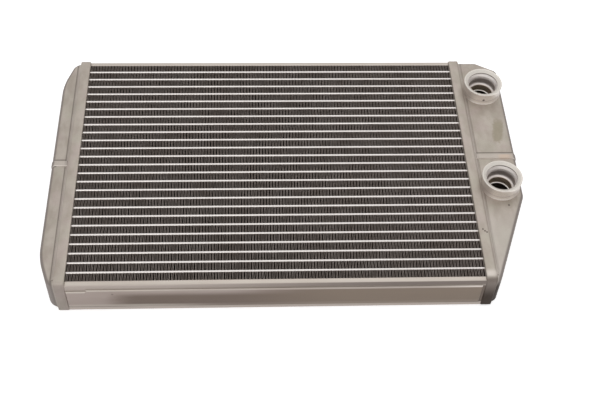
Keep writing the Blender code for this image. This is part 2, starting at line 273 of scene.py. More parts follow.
# Header pans.
# Each is drawn from aluminium sheet: its floor is the tube plate, and its turned-up
# flange holds the tank. The finish is the dull, faintly clouded grey of oven brazing.
HEADER_SHEET = 0.0012
HEADER_CORNER = 0.0032
HEADER_BEND = 0.0009
HEADER_RIM_ROUND = 0.0006
FLOOR_ADVANCE = 0.0009
SLOT_CLEARANCE = 0.00015
SMOOTH_BELOW = math.radians(40)
HAIR = 0.000001

header_low, header_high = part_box("right_header")
tube_low, tube_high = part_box("tube_01")
tube_count = sum(node.startswith("tube_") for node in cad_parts)
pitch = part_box("tube_02")[0].y - tube_low.y


def near(first, second):
    """True if two lengths are the same to a hair, a thousandth of a millimetre."""
    return abs(first - second) < HAIR


def choose(piece):
    """Select one piece alone, and make it the active one."""
    bpy.ops.object.select_all(action="DESELECT")
    piece.select_set(True)
    bpy.context.view_layer.objects.active = piece


def edit(piece):
    """Open one piece in edit mode, alone."""
    choose(piece)
    bpy.ops.object.mode_set(mode="EDIT")


def close():
    """Leave edit mode."""
    bpy.ops.object.mode_set(mode="OBJECT")


def pick(kind, test):
    """Select the vertices, edges or faces whose corner points all pass a test."""
    bpy.ops.mesh.select_mode(type=kind)
    bpy.ops.mesh.select_all(action="DESELECT")
    mesh = bmesh.from_edit_mesh(bpy.context.edit_object.data)
    for element in {"VERT": mesh.verts, "EDGE": mesh.edges, "FACE": mesh.faces}[kind]:
        points = [element.co] if kind == "VERT" else [vert.co for vert in element.verts]
        if test(points):
            element.select_set(True)
    mesh.select_flush_mode()
    bmesh.update_edit_mesh(bpy.context.edit_object.data)


def at(axis, value):
    """Test for points that all lie at one value of an axis."""
    return lambda points: all(near(point[axis], value) for point in points)


def along(axis):
    """Test for edges that run along an axis."""
    others = [i for i in range(3) if i != axis]
    return lambda points: all(near(points[0][i], points[1][i]) for i in others)


def bevel(width, segments, profile=0.5):
    """Round what is selected, or hollow it out with a low profile."""
    bpy.ops.mesh.bevel(offset=width, segments=segments, profile=profile, affect="EDGES",
                       clamp_overlap=False)


def block(name, low, high):
    """Box between two corners, open in edit mode, with its place in its mesh."""
    bpy.ops.object.select_all(action="DESELECT")
    bpy.ops.mesh.primitive_cube_add(size=1, location=(low + high) / 2, scale=high - low)
    piece = bpy.context.object
    piece.name = name
    bpy.ops.object.transform_apply(location=True, rotation=True, scale=True)
    edit(piece)
    return piece


def apply(piece, kind, **settings):
    """Add a modifier with its settings, and apply it."""
    choose(piece)
    change = piece.modifiers.new(kind.lower(), kind)
    for setting, value in settings.items():
        setattr(change, setting, value)
    bpy.ops.object.modifier_apply(modifier=change.name)


def cut(piece, tool):
    """Cut a tool's shape out of a piece, and delete the tool."""
    apply(piece, "BOOLEAN", operation="DIFFERENCE", object=tool, solver="EXACT")
    bpy.data.objects.remove(tool)


def hand_over(piece, finish, nodes):
    """Shade a finished piece, give it its material and put it in place of its nodes."""
    choose(piece)
    bpy.ops.object.shade_smooth_by_angle(angle=SMOOTH_BELOW)
    piece.data.materials.clear()
    piece.data.materials.append(finish.owner)
    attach(piece, "root")
    if nodes:
        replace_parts(piece, *nodes)


ROSE_TINT = (0.42, 0.345, 0.32, 1.0)
OLIVE_TINT = (0.39, 0.365, 0.30, 1.0)
CLOUD_SIZE = 0.006
TINT_SIZE = 0.011
DUST_SIZE = 0.0007
DUST_HEIGHT = 0.00006


def brazed(name, tone, cloud_tone, roughness):
    """Dull aluminium from the brazing oven: clouded in tone, with a fine dry grain."""
    finish = Finish(name, Metallic=0.6)
    clouds = finish.noise(CLOUD_SIZE, (1.0, 2.0, 1.0), detail=5.0).rise(0.3, 0.7)
    tints = finish.noise(TINT_SIZE)
    dust = finish.noise(DUST_SIZE)
    grey = finish.blend(clouds * 0.8, tone, cloud_tone)
    grey = finish.blend(tints.rise(0.52, 0.66) * 0.4, grey, ROSE_TINT)
    grey = finish.blend(tints.rise(0.47, 0.34) * 0.4, grey, OLIVE_TINT)
    finish.set("Base Color", finish.blend(dust.rise(0.55, 0.8) * 0.25, grey, cloud_tone))
    finish.set("Roughness", roughness + (dust - 0.5) * 0.25)
    finish.set("Normal", finish.bump(dust, DUST_HEIGHT))
    return finish


def flat_tube(name, spread):
    """Flat tube with round noses, larger than a real one all round by a spread."""
    grown = Vector((0.0, spread, spread))
    tube = block(name, tube_low - grown, tube_high + grown)
    pick("EDGE", along(0))
    bevel((tube_high.y - tube_low.y) / 2 + spread - HAIR, segments=6)
    close()
    return tube


def make_header(name, side, finish):
    """Pan with rounded corners and bends, and a slot for every tube."""
    low, high = (Vector(corner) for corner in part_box(name))
    if side > 0:
        low.x -= FLOOR_ADVANCE
    else:
        high.x += FLOOR_ADVANCE
    floor_x, rim_x = (low.x, high.x) if side > 0 else (high.x, low.x)
    pan = block(name + "_pan", low, high)
    pick("EDGE", along(0))
    bevel(HEADER_CORNER, segments=8)
    pick("EDGE", at(0, floor_x))
    bevel(HEADER_BEND, segments=6)
    pick("FACE", at(0, rim_x))
    bpy.ops.mesh.delete(type="FACE")
    close()
    apply(pan, "SOLIDIFY", thickness=HEADER_SHEET, offset=-1, use_even_offset=True)
    middle_z = (low.z + high.z) / 2
    straight_y, straight_z = high.y - HEADER_CORNER, high.z - middle_z - HEADER_CORNER

    def on_outer_rim(point):
        past_y = max(abs(point.y) - straight_y, 0)
        past_z = max(abs(point.z - middle_z) - straight_z, 0)
        return near(point.x, rim_x) and near(HEADER_CORNER, math.hypot(past_y, past_z))

    edit(pan)
    pick("EDGE", lambda points: all(on_outer_rim(point) for point in points))
    bevel(HEADER_RIM_ROUND, segments=4)
    close()
    slot = flat_tube("slots", SLOT_CLEARANCE)
    apply(slot, "ARRAY", count=tube_count, use_relative_offset=False, use_constant_offset=True,
          constant_offset_displace=(0, pitch, 0))
    cut(pan, slot)
    hand_over(pan, finish, [name])


MIDDLE_X = (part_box("left_header")[1].x + header_low.x) / 2
RIM_REACH = header_high.x - MIDDLE_X
HEADER_TONE = (0.435, 0.385, 0.335, 1.0)
HEADER_CLOUD = (0.34, 0.295, 0.25, 1.0)
RIM_SHADE_TONE = (0.25, 0.215, 0.185, 1.0)
FRONT_FACE_SHADE = (0.27, 0.22, 0.20, 1.0)
GLINT_TONE = (0.66, 0.60, 0.55, 1.0)
DARK_REFLECTION_AND_NICK_TONE = (0.024, 0.010, 0.002, 1.0)
END_START = (-0.0905, -0.0935)
END_DEPTH = (0.0270, 0.0100)
NICKS = ((0.1201, -0.0562, 0.0291), (0.1212, -0.0576, 0.0291), (0.1223, -0.0585, 0.0291))
GLINTS = ((0.1182, -0.0893, 0.0291), (0.1214, -0.0890, 0.0285))


def right_side(x):
    """1 on the right pan and tank, 0 on the left ones."""
    return x.rise(-0.05, 0.05)


def mark_headers(finish):
    """Painted shade on the right rim and front faces, painted glints, a few nicks, and a painted
    dark reflection low on the right end.
    """
    x, y, z = finish.axes()
    _, to_y, _ = finish.facing()
    right = right_side(x)
    # Painted shade along the right flange's rim, where it steps down to the tank.
    rim = abs(x - MIDDLE_X).rise(RIM_REACH - 0.0013, RIM_REACH - 0.0006) * right
    grey = finish.blend(rim * 0.5, finish.tone(), RIM_SHADE_TONE)
    # Painted shade on faces turned towards the front.
    grey = finish.blend(to_y.rise(-0.3, -0.8) * 0.5, grey, FRONT_FACE_SHADE)
    # Painted glints near the right pan's lower corner.
    for glint in GLINTS:
        grey = finish.blend(finish.spot(glint, 0.0006, 0.0042) * 0.6, grey, GLINT_TONE)
    # A painted dark reflection on the right pan's lower end, strongest towards the table.
    end = y.rise(*END_START) * right
    grey = finish.blend(end * (z.rise(*END_DEPTH) * 0.57 + 0.42), grey, DARK_REFLECTION_AND_NICK_TONE)
    # The nicks are dark marks of their own, in the same tone.
    for nick in NICKS:
        grey = finish.blend(finish.spot(nick, 0.0003, 0.0008) * 0.85, grey, DARK_REFLECTION_AND_NICK_TONE)
    finish.set("Base Color", grey)


header_finish = brazed("header_aluminium", HEADER_TONE, HEADER_CLOUD, roughness=0.45)
mark_headers(header_finish)
make_header("left_header", -1, header_finish)
make_header("right_header", 1, header_finish)


# Flat water tubes.
# Twenty-five folded strips of thin aluminium, closed by brazing, run from pan to pan.
# Their round noses stand out as bright lines between the fins, helped by a painted highlight on
# the noses and painted shade on the flats.
TUBE_WALL = 0.0004
TUBE_LINE_SIZE = 0.0004
TUBE_LINE_HEIGHT = 0.00002
TUBE_PATCH_SIZE = 0.02
TUBE_TONE = (0.67, 0.635, 0.61, 1.0)
TUBE_PATCH = (0.59, 0.555, 0.53, 1.0)
TUBE_NOSE_HIGHLIGHT = (0.90, 0.855, 0.825, 1.0)
TUBE_FLAT_SHADE = (0.13, 0.108, 0.095, 1.0)


def tube_finish():
    """Bright drawn aluminium with fine lines along the tube, a painted highlight on the noses and
    painted shade on the flats.
    """
    finish = Finish("tube_aluminium", Metallic=0.9)
    lines = finish.noise(TUBE_LINE_SIZE, (60.0, 1.0, 1.0))
    patches = finish.noise(TUBE_PATCH_SIZE, (2.0, 1.0, 1.0))
    _, to_y, to_z = finish.facing()
    nose = finish.blend(patches.rise(0.4, 0.8) * 0.5, TUBE_TONE, TUBE_PATCH)
    # Painted highlight on the noses' upper and lower sides.
    nose = finish.blend(abs(to_y).rise(0.2, 0.8), nose, TUBE_NOSE_HIGHLIGHT)
    # Painted shade on the flats, between the fins.
    finish.set("Base Color", finish.blend(abs(to_z).rise(0.22, 0.08), nose, TUBE_FLAT_SHADE))
    finish.set("Roughness", 0.3 + lines * 0.15)
    finish.set("Normal", finish.bump(lines, TUBE_LINE_HEIGHT))
    return finish


def copy_to(piece, name, shift):
    """Copy a piece, with a mesh of its own, and shift it."""
    twin = piece.copy()
    twin.data = piece.data.copy()
    twin.name = name
    twin.data.transform(Matrix.Translation(shift))
    bpy.context.collection.objects.link(twin)
    return twin


tube = flat_tube("flat_tube_01", 0.0)
edit(tube)
for end_x in (tube_low.x, tube_high.x):
    pick("FACE", at(0, end_x))
    bpy.ops.mesh.delete(type="FACE")
close()
apply(tube, "SOLIDIFY", thickness=TUBE_WALL, offset=-1, use_even_offset=True)
hand_over(tube, tube_finish(), ["tube_01"])
for row in range(2, tube_count + 1):
    twin = copy_to(tube, f"flat_tube_{row:02d}", (0, (row - 1) * pitch, 0))
    twin["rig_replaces"] = []
    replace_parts(twin, f"tube_{row:02d}")


# Folded fins.
# A thin strip, folded back and forth like a ribbon, is brazed by its crests between two
# tubes. The folds aren't quite even: each strip was stretched a little by hand.
FOLD_PITCH = 0.0020
CREST_RADIUS = 0.00060
FIN_SHEET = 0.00016
FIN_OVERLAP = 0.00004
CREST_STEPS = 4
FIN_UNEVEN = 0.0011
FIN_UNEVEN_SIZE = 0.008
FIN_PATCH_SIZE = 0.012
FIN_RIM = 0.0001
FIN_SHADE_FROM = 0.0008
FIN_EDGE = (0.36, 0.31, 0.28, 1.0)
FIN_EDGE_PATCH = (0.30, 0.25, 0.22, 1.0)
FIN_DEEP_SHADE = (0.20, 0.155, 0.13, 1.0)
LOUVRE_SCALE = 260.0
LOUVRE_HEIGHT = 0.0001
MERGE_WITHIN = 0.00001
FLAT = 0.001

fin_low, fin_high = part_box("fin_01")
fin_floor = tube_low.y - (pitch - (tube_high.y - tube_low.y))
fin_count = tube_count + 1
fin_middle_z = (fin_low.z + fin_high.z) / 2


def fin_finish():
    """Thin rolled strip, a shade darker and browner than the tubes, with painted shade away from
    its cut edges.
    """
    finish = Finish("fin_aluminium", Metallic=0.85)
    patches = finish.noise(FIN_PATCH_SIZE)
    louvres = finish.node("ShaderNodeTexWave", {"bands_direction": "Z"},
                          {"Vector": finish.place(), "Scale": LOUVRE_SCALE, "Distortion": 0.0})
    cut_edge = finish.blend(patches.rise(0.35, 0.7), FIN_EDGE, FIN_EDGE_PATCH)
    # Painted shade deeper in the core, away from the front and back edges.
    _, _, z = finish.axes()
    reach = fin_high.z - fin_middle_z
    deep = abs(z - fin_middle_z).rise(reach - FIN_RIM, reach - FIN_SHADE_FROM)
    finish.set("Base Color", finish.blend(deep, cut_edge, FIN_DEEP_SHADE))
    finish.set("Roughness", 0.45 + patches * 0.1)
    finish.set("Normal", finish.bump(louvres, LOUVRE_HEIGHT))
    return finish


def make_fin():
    """One strip: a leg, a crest turned over it, a leg back and a crest turned under it."""
    foot_radius = FOLD_PITCH / 2 - CREST_RADIUS
    bottom = fin_floor - FIN_OVERLAP + FIN_SHEET / 2 + foot_radius
    top = tube_low.y + FIN_OVERLAP - FIN_SHEET / 2 - CREST_RADIUS
    start = fin_low.x + FIN_SHEET / 2 + CREST_RADIUS
    bpy.ops.object.select_all(action="DESELECT")
    bpy.ops.mesh.primitive_plane_add(
        size=1, location=(start - CREST_RADIUS, (bottom + top) / 2, fin_middle_z),
        rotation=(0, math.pi / 2, 0))
    strip = bpy.context.object
    strip.name = "folded_fin_01"
    strip.scale = (fin_high.z - fin_low.z, top - bottom, 1)
    bpy.ops.object.transform_apply(location=True, rotation=True, scale=True)
    edit(strip)
    pick("EDGE", at(1, top))
    bpy.ops.mesh.spin(steps=CREST_STEPS, angle=math.pi, axis=(0, 0, 1),
                      center=(start, top, fin_middle_z))
    bpy.ops.mesh.extrude_region_move(TRANSFORM_OT_translate={"value": (0, bottom - top, 0)})
    bpy.ops.mesh.spin(steps=CREST_STEPS, angle=-math.pi, axis=(0, 0, 1),
                      center=(start + CREST_RADIUS + foot_radius, bottom, fin_middle_z))
    close()
    folds = int((fin_high.x - fin_low.x) / FOLD_PITCH)
    apply(strip, "ARRAY", count=folds, use_relative_offset=False, use_constant_offset=True,
          constant_offset_displace=(FOLD_PITCH, 0, 0), use_merge_vertices=True,
          merge_threshold=MERGE_WITHIN)
    apply(strip, "SOLIDIFY", thickness=FIN_SHEET, offset=0)
    return strip


fins_finish = fin_finish()
fin = make_fin()
stretch = bpy.data.textures.new("uneven", "CLOUDS")
stretch.noise_scale = FIN_UNEVEN_SIZE

# The strip is pressed flat while it is stretched, so that each fold stays straight in depth.
flatten = Matrix.Diagonal((1, 1, FLAT, 1))
for row in range(fin_count, 0, -1):
    strip = fin if row == 1 else copy_to(fin, f"folded_fin_{row:02d}", (0, (row - 1) * pitch, 0))
    strip.data.transform(flatten)
    apply(strip, "DISPLACE", direction="X", texture=stretch, texture_coords="LOCAL", mid_level=0.5,
          strength=FIN_UNEVEN)
    strip.data.transform(flatten.inverted())
    hand_over(strip, fins_finish, [f"fin_{row:02d}"])


# Side plates.
# A rolled aluminium bar closes the stack above and below, and takes the clamp of the
# brazing jig. The flat rib raised along it has a small step near its left end.
PLATE_EDGE = 0.0009
RIB_SETBACK = 0.0038
RIB_WIDTH = 0.0178
RIB_HEIGHT = 0.0010
RIB_LEFT_END = 0.0005
RIB_END = 0.0022
RIB_ROUND = 0.0009
RIB_STEP = 0.0015
RIB_STEP_LENGTH = 0.0120
PLATE_LINE_SIZE = 0.0006
PLATE_LINE_HEIGHT = 0.00003
PLATE_CLOUD_SIZE = 0.015
LEDGE_LIT_TONE = (0.475, 0.43, 0.385, 1.0)
LEDGE_LIT_CLOUD = (0.44, 0.39, 0.345, 1.0)
STRIP_LEFT = (0.41, 0.355, 0.32, 1.0)
STRIP_DARK_REFLECTION = (0.20, 0.168, 0.15, 1.0)
STRIP_FADE = (-0.10, 0.07)
RIB_TONE = (0.38, 0.32, 0.29, 1.0)
RIB_CLOUD = (0.35, 0.29, 0.26, 1.0)
RIB_REFLECTION_LEFT = (0.17, 0.13, 0.107, 1.0)
RIB_REFLECTION_RIGHT = (0.225, 0.178, 0.140, 1.0)
RIB_REFLECTION_FADE = (-0.05, 0.04)
RIB_REFLECTION_START = (-0.112, -0.092)
RIB_EDGE_HIGHLIGHT_RIGHT = (0.68, 0.62, 0.57, 1.0)
REAR_STRIP_LIGHT = (0.48, 0.42, 0.38, 1.0)
PLATE_SHADE_AND_SPECK = (0.13, 0.10, 0.085, 1.0)
PLATE_LEFT = (-0.06, -0.11)
PLATE_RIGHT = (0.08, 0.12)
PLATE_SPECK = (-0.1063, -0.0947, 0.0195)

plate_low, plate_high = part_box("lower_side_plate")


def bisect(place, normal, **settings):
    """Cut every face in edit mode along a plane."""
    bpy.ops.mesh.select_mode(type="FACE")
    bpy.ops.mesh.select_all(action="SELECT")
    bpy.ops.mesh.bisect(plane_co=place, plane_no=normal, **settings)


def plate_finish():
    """Rolled bar: fine lines along it, painted highlights on its edges, and painted shade and soft
    brown painted reflections on the rib.
    """
    finish = Finish("side_plate_aluminium", Metallic=0.9)
    lines = finish.noise(PLATE_LINE_SIZE, (80.0, 1.0, 1.0))
    clouds = finish.noise(PLATE_CLOUD_SIZE, (3.0, 1.0, 1.0)).rise(0.3, 0.7)
    x, _, z = finish.axes()
    rib_low = plate_high.z - RIB_SETBACK - RIB_WIDTH
    rib_right = plate_high.x - RIB_END
    step_x = plate_low.x + RIB_LEFT_END + RIB_STEP_LENGTH
    stepped = x.rise(step_x + 0.001, step_x - 0.001)
    over_rib = z - (plate_high.z - RIB_SETBACK) + stepped * RIB_STEP
    ends = x.rise(*PLATE_LEFT) + x.rise(*PLATE_RIGHT)

    # Painted highlight: the lit tone of the ledge, the bar's face turned up.
    lit_ledge = finish.blend(clouds, LEDGE_LIT_TONE, LEDGE_LIT_CLOUD)
    # The strip is painted darker towards the right, a painted dark reflection.
    strip = finish.blend(x.rise(*STRIP_FADE), STRIP_LEFT, STRIP_DARK_REFLECTION)
    rib = finish.blend(clouds, RIB_TONE, RIB_CLOUD)
    # Painted dark reflection on the rib: over its lower part at the left, over most of it at the
    # right.
    dark_reflection = finish.blend(x.rise(*RIB_REFLECTION_FADE), RIB_REFLECTION_LEFT, RIB_REFLECTION_RIGHT)
    rightward = x.rise(-0.05, 0.02)
    low_share = over_rib.rise(-0.0012, -0.0070) * (1.0 - rightward)
    high_share = over_rib.rise(-0.0006, -0.0014) * rightward
    reflection_reach = (x + (clouds - 0.5) * 0.01).rise(*RIB_REFLECTION_START)
    rib = finish.blend(reflection_reach * (low_share + high_share), rib, dark_reflection)
    # Painted light on the rib near its rear edge, in the ledge's lit tone, most at the left.
    foot = z.rise(rib_low + 0.0042, rib_low + 0.0020)
    rib = finish.blend(foot * (x.rise(-0.03, -0.10) * 0.8 + 0.15), rib, lit_ledge)
    # Painted shade at the rib's rear edge, near the plate's ends.
    rear_edge_shade = finish.band(z, rib_low - 0.0002, rib_low + 0.0012, 0.0003)
    rib = finish.blend(rear_edge_shade * ends * 0.7, rib, PLATE_SHADE_AND_SPECK)

    # Painted highlight on the rib's rounded front edge, brighter to the right.
    rib_edge_highlight = finish.blend(x.rise(0.07, 0.12), lit_ledge, RIB_EDGE_HIGHLIGHT_RIGHT)
    tone = finish.blend(over_rib.rise(-0.0010, -0.0005) * (ends * 0.4 + 0.6), rib, rib_edge_highlight)
    # The rib's front wall is painted half in the ledge's lit tone.
    tone = finish.blend(over_rib.rise(-0.0001, 0.0001), tone, finish.blend(0.5, strip, lit_ledge))
    tone = finish.blend(over_rib.rise(0.0006, 0.0012), tone, strip)
    # Painted shade past the rib's right end.
    beyond = x.rise(rib_right - 0.0002, rib_right + 0.0002)
    tone = finish.blend(beyond * over_rib.rise(0.0010, -0.0005) * 0.8, tone, PLATE_SHADE_AND_SPECK)
    # Painted highlight on the ledge itself.
    tone = finish.blend(z.rise(plate_high.z - 0.00016, plate_high.z - 0.00004), tone, lit_ledge)
    # A small dark speck on the rib, in the same dark tone.
    tone = finish.blend(finish.spot(PLATE_SPECK, 0.0003, 0.0010) * 0.6, tone, PLATE_SHADE_AND_SPECK)
    # Painted light on the strip between the rib and the table.
    rear = z.rise(rib_low - 0.0001, rib_low - 0.0007)
    finish.set("Base Color", finish.blend(rear, tone, REAR_STRIP_LIGHT))
    finish.set("Roughness", 0.34 + lines * 0.16)
    finish.set("Normal", finish.bump(lines, PLATE_LINE_HEIGHT))
    return finish


def make_side_plate(name, outward, finish):
    """Bar with a flat raised rib on its outer face."""
    low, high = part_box(name)
    outer_y = (high.y if outward > 0 else low.y) - outward * RIB_HEIGHT
    inner_y = low.y if outward > 0 else high.y
    bar_low = Vector((low.x, min(outer_y, inner_y), low.z))
    bar_high = Vector((high.x, max(outer_y, inner_y), high.z))
    bar = block(name + "_bar", bar_low, bar_high)
    pick("EDGE", lambda points: at(1, outer_y)(points) and along(0)(points))
    bevel(PLATE_EDGE, segments=3)
    rib_high = high.z - RIB_SETBACK
    for rib_z in (rib_high - RIB_WIDTH, rib_high - RIB_STEP, rib_high):
        bisect((0, 0, rib_z), (0, 0, 1))
    rib_left, rib_right = low.x + RIB_LEFT_END, high.x - RIB_END
    for rib_x in (rib_left, rib_left + RIB_STEP_LENGTH, rib_right):
        bisect((rib_x, 0, 0), (1, 0, 0))

    def on_rib(points):
        middle = sum(points, Vector()) / len(points)
        top = rib_high if middle.x > rib_left + RIB_STEP_LENGTH else rib_high - RIB_STEP
        return (at(1, outer_y)(points) and rib_left < middle.x < rib_right
                and rib_high - RIB_WIDTH < middle.z < top)

    pick("FACE", on_rib)
    bpy.ops.mesh.extrude_region_move(
        TRANSFORM_OT_translate={"value": (0, outward * RIB_HEIGHT, 0)})
    bpy.ops.mesh.region_to_loop()
    bevel(RIB_ROUND, segments=4)
    close()
    hand_over(bar, finish, [name])


plates_finish = plate_finish()
make_side_plate("upper_side_plate", 1, plates_finish)
make_side_plate("lower_side_plate", -1, plates_finish)


# Tanks.
# Each is pressed from one sheet to a closed trough, and its open side is brazed inside
# the flange of its pan. A bead pressed round it stiffens the wide faces.
TANK_WALL = 0.0014
TANK_EDGE = 0.0026
TANK_GAP = 0.0003
BEAD_WIDTH = 0.0046
BEAD_HEIGHT = 0.0010
BEAD_SIDE = 0.0003
BEAD_ROUND = 0.0009
BEAD_START = 0.0061
LEFT_BEAD = 0.0006
RIGHT_BEAD = 0.0046
SOCKET_HOLE = 0.0099
SOCKET_SIDES = 96

tank_low_z = header_low.z + HEADER_SHEET + TANK_GAP
tank_high_z = header_high.z - HEADER_SHEET - TANK_GAP
tank_half = header_high.y - HEADER_SHEET - TANK_GAP

# Each corner is given by its way out from the pan, its place along the tank and its radius.
LEFT_CORNERS = (
    (0.0024, -tank_half, 0.0), (0.0098, -tank_half, 0.0070), (0.0165, 0.0205 - tank_half, 0.0407),
    (0.0165, tank_half - 0.0205, 0.0407), (0.0098, tank_half, 0.0070), (0.0024, tank_half, 0.0),
)
RIGHT_CORNERS = (
    (0.0024, -tank_half, 0.0), (0.0083, -tank_half, 0.0040), (0.0328, -0.0282, 0.0080),
    (0.0328, tank_half - 0.0083, 0.0040), (0.0184, tank_half, 0.0040), (0.0024, tank_half, 0.0),
)


def make_tank(name, side, corners, bead_y):
    """Trough cut from a box at its sloping corners, rounded, beaded and hollowed."""
    face_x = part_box("right_header")[0].x if side > 0 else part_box("left_header")[1].x
    mouth_x = face_x + side * corners[0][0]
    reach = max(out for out, _, _ in corners)
    ends = sorted((mouth_x, face_x + side * reach))
    tank = block(name + "_trough", Vector((ends[0], -tank_half, tank_low_z)),
                 Vector((ends[1], tank_half, tank_high_z)))
    places = [Vector((face_x + side * out, up, 0)) for out, up, _ in corners]
    for first, second in zip(places, places[1:]):
        run = second - first
        if abs(run.x) > TANK_EDGE and abs(run.y) > TANK_EDGE:
            bisect(first, Vector((run.y, -run.x, 0)) * side, use_fill=True, clear_outer=True)
    for i in range(1, len(places) - 1):
        turn = (places[i] - places[i - 1]).angle(places[i + 1] - places[i])
        width = corners[i][2] * math.tan(turn / 2)
        pick("EDGE", lambda points: along(2)(points)
             and (points[0].xy - places[i].xy).length < 10 * HAIR)
        bevel(width, segments=max(6, round(math.degrees(turn) / 6)))
    pick("EDGE", lambda points: (at(2, tank_low_z)(points) or at(2, tank_high_z)(points))
         and not at(0, mouth_x)(points))
    bevel(TANK_EDGE, segments=6)
    pick("FACE", at(0, mouth_x))
    bpy.ops.mesh.delete(type="FACE")
    for bead_edge in (bead_y - BEAD_WIDTH / 2, bead_y + BEAD_WIDTH / 2):
        bisect((0, bead_edge, 0), (0, 1, 0))
    start_x = face_x + side * BEAD_START
    bisect((start_x, 0, 0), (1, 0, 0))
    pick("FACE", lambda points: all(abs(point.y - bead_y) < BEAD_WIDTH / 2 + HAIR
                                    and side * (point.x - start_x) > -HAIR for point in points))
    bpy.ops.mesh.extrude_region_shrink_fatten(TRANSFORM_OT_shrink_fatten={"value": BEAD_SIDE})
    half_depth = (tank_high_z - tank_low_z) / 2
    bpy.ops.transform.resize(value=(1, 1, (half_depth + BEAD_HEIGHT) / (half_depth + BEAD_SIDE)),
                             center_override=(0, 0, tank_low_z + half_depth))
    bpy.ops.mesh.region_to_loop()
    bevel(BEAD_ROUND, segments=4)
    close()
    apply(tank, "SOLIDIFY", thickness=TANK_WALL, offset=-1, use_even_offset=True)
    return tank


TANK_TONE = (0.445, 0.395, 0.345, 1.0)
TANK_CLOUD = (0.335, 0.29, 0.245, 1.0)
CREASE_FROM = RIM_REACH + 0.0012
CREASE_TO = CREASE_FROM + 0.0008
CREASE_SHADE_TONE = (0.12, 0.10, 0.085, 1.0)
BEAD_SLOPE_HIGHLIGHT = (0.50, 0.445, 0.40, 1.0)
BEAD_SHINE = (0.75, 0.69, 0.63, 1.0)
TANK_GLINT = (0.1240, -0.0880, 0.0270)
TANK_GLINT_TONE = (0.72, 0.66, 0.61, 1.0)
TAN_PLACE = (0.1436, 0.0034, 0.0289)
TAN_TONE = (0.62, 0.46, 0.34, 1.0)
PALE_TONE = (0.56, 0.515, 0.47, 1.0)
PALE_START = (-0.032, -0.058)
SIDEWAYS_SHADE = (0.20, 0.17, 0.155, 1.0)
TANK_END_START = (-0.0760, -0.0880)
TANK_END_DEPTH = (0.0270, 0.0185)
DENT_PLACE = (-0.1486, -0.0016, 0.0270)
STAIN_PLACE = (0.1428, 0.0272, 0.0276)
STAIN_LEAN = 0.16
STAIN_TONE = (0.27, 0.235, 0.165, 1.0)
STAIN_MOTTLE_SIZE = 0.002
PIT_PLACE = (0.1400, -0.0363, 0.0276)
PIT_TONE = (0.06, 0.045, 0.035, 1.0)


def mark_tanks(finish):
    """Marks on the tanks: a tan mark, a stain and a pit, with a painted glint, painted shade,
    highlights and a dark reflection.
    """
    x, y, z = finish.axes()
    to_x, to_y, _ = finish.facing()
    right = right_side(x)
    # A painted glint near the right tank's lower corner.
    glint = finish.spot(TANK_GLINT, 0.0008, 0.0036)
    grey = finish.blend(glint * 0.7, finish.tone(), TANK_GLINT_TONE)
    # Painted shade in the creases beside the flanges, stronger on the left.
    creases = finish.band(abs(x - MIDDLE_X), CREASE_FROM, CREASE_TO, 0.0005)
    grey = finish.blend(creases * (0.65 - right * 0.25), grey, CREASE_SHADE_TONE)
    for bead_y, side in ((LEFT_BEAD, 1.0 - right), (RIGHT_BEAD, right)):
        # Each bead: a painted highlight over its near slope and top, strongest where it faces the
        # front, and painted shade at its far foot.
        near_slope = finish.band(y, bead_y - 0.0026, bead_y + 0.0014, 0.0006) * side
        far_foot = finish.band(y, bead_y + 0.0024, bead_y + 0.0032, 0.0006) * side
        grey = finish.blend(near_slope * (0.55 - to_y * 0.45), grey, BEAD_SLOPE_HIGHLIGHT)
        grey = finish.blend(near_slope * to_y.rise(-0.4, -0.9), grey, BEAD_SHINE)
        grey = finish.blend(far_foot * 0.75, grey, CREASE_SHADE_TONE)
    tan = finish.spot(TAN_PLACE, 0.002, 0.006)
    on_slope = finish.band(y, RIGHT_BEAD - 0.0022, RIGHT_BEAD + 0.0004, 0.0008)
    grey = finish.blend(tan * on_slope * 0.45, grey, TAN_TONE)
    grey = finish.blend(right * y.rise(*PALE_START) * 0.4, grey, PALE_TONE)
    # Painted shade on faces turned sideways.
    grey = finish.blend(abs(to_x).rise(0.12, 0.5) * 0.85, grey, SIDEWAYS_SHADE)
    # A painted dark reflection on the right tank's lower end, towards the table.
    end = y.rise(*TANK_END_START) * z.rise(*TANK_END_DEPTH)
    grey = finish.blend(end * right, grey, DARK_REFLECTION_AND_NICK_TONE)
    # Painted shade of a small dent on the left tank.
    grey = finish.blend(finish.spot(DENT_PLACE, 0.0006, 0.0014) * 0.6, grey, CREASE_SHADE_TONE)
    aside = x - STAIN_PLACE[0] - (y - STAIN_PLACE[1]) * STAIN_LEAN
    stain = finish.spot(STAIN_PLACE, 0.005, 0.0145) * abs(aside).rise(0.0054, 0.0010)
    mottle = (finish.noise(STAIN_MOTTLE_SIZE, detail=4.0) - 0.5) * 1.2
    stain = (stain + mottle).rise(0.10, 0.85) * stain.rise(0.0, 0.30)
    grey = finish.blend(stain * 0.7, grey, STAIN_TONE)
    pit = finish.spot(PIT_PLACE, 0.0004, 0.0009)
    finish.set("Base Color", finish.blend(pit * 0.8, grey, PIT_TONE))


tank_finish = brazed("tank_aluminium", TANK_TONE, TANK_CLOUD, roughness=0.5)
mark_tanks(tank_finish)
left_tank = make_tank("left_tank", -1, LEFT_CORNERS, LEFT_BEAD)
hand_over(left_tank, tank_finish, ["left_tank"])
right_tank = make_tank("right_tank", 1, RIGHT_CORNERS, RIGHT_BEAD)
for node in ("upper_port", "lower_port"):
    port_low, port_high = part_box(node)
    middle = (port_low + port_high) / 2
    bpy.ops.object.select_all(action="DESELECT")
    bpy.ops.mesh.primitive_cylinder_add(
        vertices=SOCKET_SIDES, radius=SOCKET_HOLE, depth=4 * TANK_WALL,
        location=(middle.x, middle.y, tank_high_z))
    cut(right_tank, bpy.context.object)
hand_over(right_tank, tank_finish, ["right_tank"])


